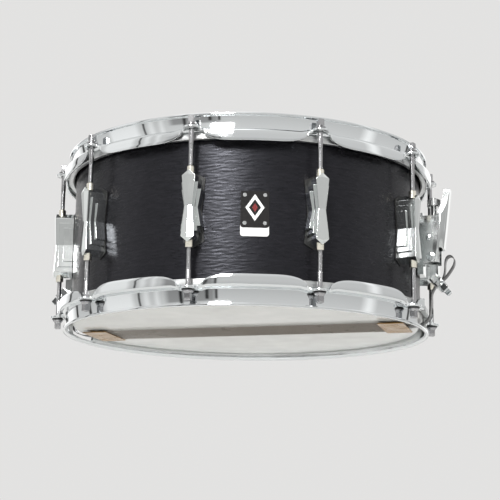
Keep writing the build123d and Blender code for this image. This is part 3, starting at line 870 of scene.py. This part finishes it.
CLAMP_X = 197.4
CLAMP_Z = -42.3
CLAMP_C = cos(radians(45))
STRAP_HALF = 6.5
STRAP_THICK_HALF = 0.25
STRAP_LAYER = 0.3


def along_clamp(u, v):
    return (CLAMP_X + (u + v) * CLAMP_C, CLAMP_Z + (u - v) * CLAMP_C)


def flowing(route, steps=7):
    """A smooth line near the route's points: a quadratic spline with clamped ends."""
    points = [Vector(p) for p in route]
    line = [points[0]]
    for i in range(1, len(points) - 1):
        start = points[0] if i == 1 else (points[i - 1] + points[i]) / 2
        end = points[-1] if i == len(points) - 2 else (points[i] + points[i + 1]) / 2
        for step in range(1, steps + 1):
            share = step / steps
            line.append(start.lerp(points[i], share).lerp(points[i].lerp(end, share), share))
    return line


def make_strap(route, keep=lambda r, z: True):
    """A flat strap along an (x, z) route; keep picks the stretch that is wanted."""
    line = flowing(route)
    rings = []
    for i, point in enumerate(line):
        if not keep(point.x, point.y):
            continue
        ahead = line[min(i + 1, len(line) - 1)] - line[max(i - 1, 0)]
        ahead.normalize()
        across = Vector((-ahead.y, ahead.x))
        half, thick_half = STRAP_HALF, STRAP_THICK_HALF
        ring = []
        for y, s in ((-half, -0.6), (-half + 0.25, -1), (half - 0.25, -1), (half, -0.6),
                     (half, 0.6), (half - 0.25, 1), (-half + 0.25, 1), (-half, 0.6)):
            offset = across * (s * thick_half)
            ring.append((point.x + offset.x, y, point.y + offset.y))
        rings.append(ring)
    return skin(rings)


ON_PLATE_Z = END_PLATE_TOP + 0.27
TO_END_PLATE = [(189.3, -60.0), (188.9, -66.0), (188.4, -72.0), (186.6, -77.5), (182.5, -81.5)]
TO_END_PLATE += [(177.0, -83.5), (171.0, ON_PLATE_Z), (165.0, ON_PLATE_Z), (153.0, ON_PLATE_Z)]
FRONT_ROUTE = [along_clamp(-5.1, -STRAP_LAYER), (191.6, -48.6), (189.9, -53.0)] + TO_END_PLATE
REAR_ROUTE = [along_clamp(-3.0, -STRAP_LAYER), along_clamp(-6.0, -STRAP_LAYER), (191.2, -50.5)]
REAR_ROUTE += [(189.8, -54.5)] + TO_END_PLATE
TAIL_ROUTE = [along_clamp(-4.6, -STRAP_LAYER), along_clamp(3.0, -STRAP_LAYER), along_clamp(7.0, -0.5)]
TAIL_ROUTE += [(203.4, -29.5), (203.4, -22.0), (205.2, -16.4), (209.4, -14.9), (213.0, -18.2), (212.6, -24.0)]
TAIL_ROUTE += [(209.4, -29.4), along_clamp(9.5, 0.6), along_clamp(5.0, STRAP_LAYER)]
TAIL_ROUTE += [along_clamp(-4.6, STRAP_LAYER)]


def add_bent_strap(name, shape, replaces, azimuth):
    """A strap placed at its azimuth, with its place and turn baked into the mesh; it rides on no body and
    stands for the CAD nodes it replaces.
    """
    strap = placed(name, make_mesh(name, shape, STRAP_PLASTIC, 40), azimuth)
    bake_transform(strap)
    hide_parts(*replaces)


# The strap is cut into stretches at these two heights.
STRAP_TOP_Z = -58.0
STRAP_RIM_Z = -72.0


def make_straps():
    upper = make_strap(FRONT_ROUTE, lambda x, z: z > STRAP_TOP_Z - 1)
    add_bent_strap("strap_upper", upper, (), STRAINER_AZIMUTH)
    run = make_strap(FRONT_ROUTE, lambda x, z: STRAP_RIM_Z - 1 < z < STRAP_TOP_Z + 1)
    add_bent_strap("strap_run", run, (), STRAINER_AZIMUTH)
    low = make_strap(FRONT_ROUTE, lambda x, z: z < STRAP_RIM_Z)
    add_bent_strap("strap_low", low, ["strap_front"], STRAINER_AZIMUTH)
    rear = make_strap(REAR_ROUTE)
    add_bent_strap("strap_butt", rear, ["strap_rear"], BUTT_AZIMUTH)
    mesh = make_mesh("strap_loop", make_strap(TAIL_ROUTE), STRAP_PLASTIC, 40)
    loop = add_piece("strap_loop", mesh, "strap_clamp", ["strap_tail"], STRAINER_AZIMUTH)
    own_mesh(loop)


make_straps()


# ---- Throw-off: slightly domed heads of the lever's rivets and of the pivot ----
CROWN = ((1, 0.6), (0.93, 0.3), (0.66, 0.14), (0.33, 0.04), (0, 0))     # share of the radius, drop


def make_cheek_heads(x, z, radius, low, high, shaft_r, shaft_low):
    """A head on each cheek of the lever, with a shaft behind it."""
    profile = [(0, shaft_low), (shaft_r, shaft_low), (shaft_r, low), (radius, low)]
    profile += [(radius * share, high - drop) for share, drop in CROWN]
    head = moved(lathe(profile), to_y(x, 0, z))
    far_head = [(a, -b, c) for a, b, c in head[0]], head[1]
    return together(head, far_head)


def make_throwoff_heads():
    pivots = make_mesh("pivot_heads", make_cheek_heads(191.0, -17.5, 4.3, 11.9, 13.4, 2.4, 9.2), CHROME)
    add_piece("pivot_heads", pivots, "drum", ["throwoff_pivot_screws"], STRAINER_AZIMUTH)
    rivets = make_mesh("lever_rivets", make_cheek_heads(189.0, 2.0, 2.7, 11.62, 12.9, 1.6, 10.4), CHROME)
    add_piece("lever_rivets", rivets, "lever", (), STRAINER_AZIMUTH)


make_throwoff_heads()

# ---- CAD nodes that stay ----
for name in ("throwoff_housing", "throwoff_lever", "throwoff_clamp_block", "throwoff_clamp_plate",
             "butt_base", "butt_clamp_plate"):
    dress(name, STRAINER_CHROME, 0.3)
dress("throwoff_carriage", SCREW_STEEL, 0.12)
for name in ("throwoff_clamp_screws", "butt_clamp_screws"):
    dress(name, CHROME, 0.15)
dress("throwoff_knob", SCREW_STEEL)
dress("mounting_screws", SCREW_STEEL)
dress("mount_gaskets", RUBBER)


# ---- Studio: pale floor, soft surroundings, camera ----
class Sky(Paint):
    """The surroundings, by direction: azimuth in degrees from -Y towards +X, and height as a sine."""

    def __init__(self):
        world = bpy.data.worlds.new("studio")
        bpy.context.scene.world = world
        world.use_nodes = True
        self.nodes = world.node_tree.nodes
        self.links = world.node_tree.links
        self.back = self.nodes["Background"]
        coordinates = self.nodes.new("ShaderNodeTexCoord")
        x, y, z = split(self, coordinates.outputs["Generated"])
        turn = math_node(self, "ARCTAN2", x, math_node(self, "MULTIPLY", y, -1.0))
        self.azimuth = math_node(self, "MULTIPLY", turn, 180 / pi)
        self.height = z

    def edge(self, source, low, soft):
        """0 below low and 1 above it, softly."""
        return self.span(source, 0.0, 1.0, low - soft / 2, low + soft / 2)

    def window(self, left, right, low, high, soft=4.0, soft_height=0.03):
        """1 inside a patch of the surroundings and 0 outside."""
        result = self.edge(self.azimuth, left, soft)
        before_right = reversed_value(self, self.edge(self.azimuth, right, soft))
        result = math_node(self, "MULTIPLY", result, before_right)
        result = math_node(self, "MULTIPLY", result, self.edge(self.height, low, soft_height))
        below_top = reversed_value(self, self.edge(self.height, high, soft_height))
        return math_node(self, "MULTIPLY", result, below_top)


def reversed_value(paint, source):
    return math_node(paint, "SUBTRACT", 1.0, source)


BACKDROP = 0.765            # brightness of the plain background
# Patches of the surroundings: left and right azimuth, low and high height (a sine), then for the bright
# ones strength and softness.
BRIGHT_WINDOWS = [(-25, -12, 0.297, 0.33, 3.0, 1.0), (-25, -12, 0.32, 0.6, 48.0, 1.0),
                  (-60, -57, -0.1, 0.6, 0.2, 2.5), (-68, -64, -0.1, 0.6, 0.2, 2.5),
                  (-100, -76, -0.15, 0.5, 0.3, 4.0), (76, 84, 0.05, 0.7, 0.4, 6.0),
                  (-176, -140, 0.0, 0.6, 0.6, 8.0), (140, 170, 0.0, 0.7, 0.6, 8.0)]
DARK_BARS = [(-43.5, -41.5, -0.6, 0.6), (-72, -70.5, -0.5, 0.7), (-118, -115, -0.6, 0.5),
             (119, 121.5, -0.5, 0.6), (-136, -133, -0.6, 0.7), (-27, -25, 0.0, 0.24),
             (-21, -19.5, 0.0, 0.24), (-181, 181, 0.9, 1.1)]
LEFT_GREY = (-52, -21, -0.3, 0.285)


def make_surroundings():
    sky = Sky()
    light = sky.span(sky.height, 0.42, 0.8, -0.35, 0.5)
    dimmed = math_node(sky, "MULTIPLY", sky.window(*LEFT_GREY, 4.0), 0.5)
    light = math_node(sky, "MULTIPLY", light, reversed_value(sky, dimmed))
    for left, right, low, high, strength, soft in BRIGHT_WINDOWS:
        patch = math_node(sky, "MULTIPLY", sky.window(left, right, low, high, soft, 0.006), strength)
        light = math_node(sky, "ADD", light, patch)
    for bar in DARK_BARS:
        shade = reversed_value(sky, math_node(sky, "MULTIPLY", sky.window(*bar, 1.2), 0.92))
        light = math_node(sky, "MULTIPLY", light, shade)
    path = sky.nodes.new("ShaderNodeLightPath")
    seen = sky.nodes.new("ShaderNodeMix")
    sky.links.new(path.outputs["Is Camera Ray"], seen.inputs[0])
    sky.links.new(light, seen.inputs[2])
    seen.inputs[3].default_value = BACKDROP
    sky.links.new(seen.outputs[0], sky.back.inputs["Strength"])
    sky.back.inputs["Color"].default_value = (1.0, 0.995, 0.985, 1)


def make_floor():
    floor_z, reach = -0.76, 6.0
    turns = [tau * i / 64 for i in range(64)]
    shape = skin([[(reach * cos(a), reach * sin(a), z) for a in turns] for z in (floor_z - 0.02, floor_z)])
    mesh = bpy.data.meshes.new("studio_floor")
    mesh.from_pydata(shape[0], [], shape[1])
    paint = Paint("studio_floor", (0.72, 0.72, 0.71), roughness=0.75)
    worn = paint.ramp(paint.noise(3, 4), (0.7, 0.7, 0.69), (0.75, 0.75, 0.74), 0.3, 0.7)
    paint.feed(worn, "Base Color")
    mesh.materials.append(paint.material)
    floor = bpy.data.objects.new("studio_floor", mesh)
    bpy.context.scene.collection.objects.link(floor)


def add_soft_light(name, azimuth, height, distance, size, power):
    light = bpy.data.lights.new(name, "AREA")
    light.shape = "RECTANGLE"
    light.size, light.size_y = size
    light.energy = power
    lamp = bpy.data.objects.new(name, light)
    bpy.context.scene.collection.objects.link(lamp)
    a = radians(azimuth)
    lamp.location = (distance * sin(a), -distance * cos(a), height)
    lamp.rotation_euler = (Vector((0, 0, MID)) - lamp.location).to_track_quat("-Z", "Y").to_euler()
    lamp.visible_camera = False


CAMERA_AT = Vector((-0.0538, -1.3942, -0.2106))
CAMERA_AIM = Vector((0.0400, 0.9767, 0.2105))
CAMERA_ROLL = 0.782


def make_camera():
    data = bpy.data.cameras.new("camera")
    data.lens = 100
    data.sensor_width = 36
    camera = bpy.data.objects.new("camera", data)
    bpy.context.scene.collection.objects.link(camera)
    ahead = CAMERA_AIM.normalized()
    right = ahead.cross(Vector((0, 0, 1))).normalized()
    up = right.cross(ahead)
    roll = radians(CAMERA_ROLL)
    across = right * cos(roll) + up * sin(roll)
    upward = up * cos(roll) - right * sin(roll)
    facing = Matrix((across, upward, -ahead)).transposed().to_4x4()
    camera.matrix_world = Matrix.Translation(CAMERA_AT) @ facing
    bpy.context.scene.camera = camera


make_surroundings()
make_floor()
add_soft_light("overhead", -30, 2.2, 0.9, (1.6, 1.6), 9)
make_camera()
bpy.context.scene.view_settings.view_transform = "Standard"
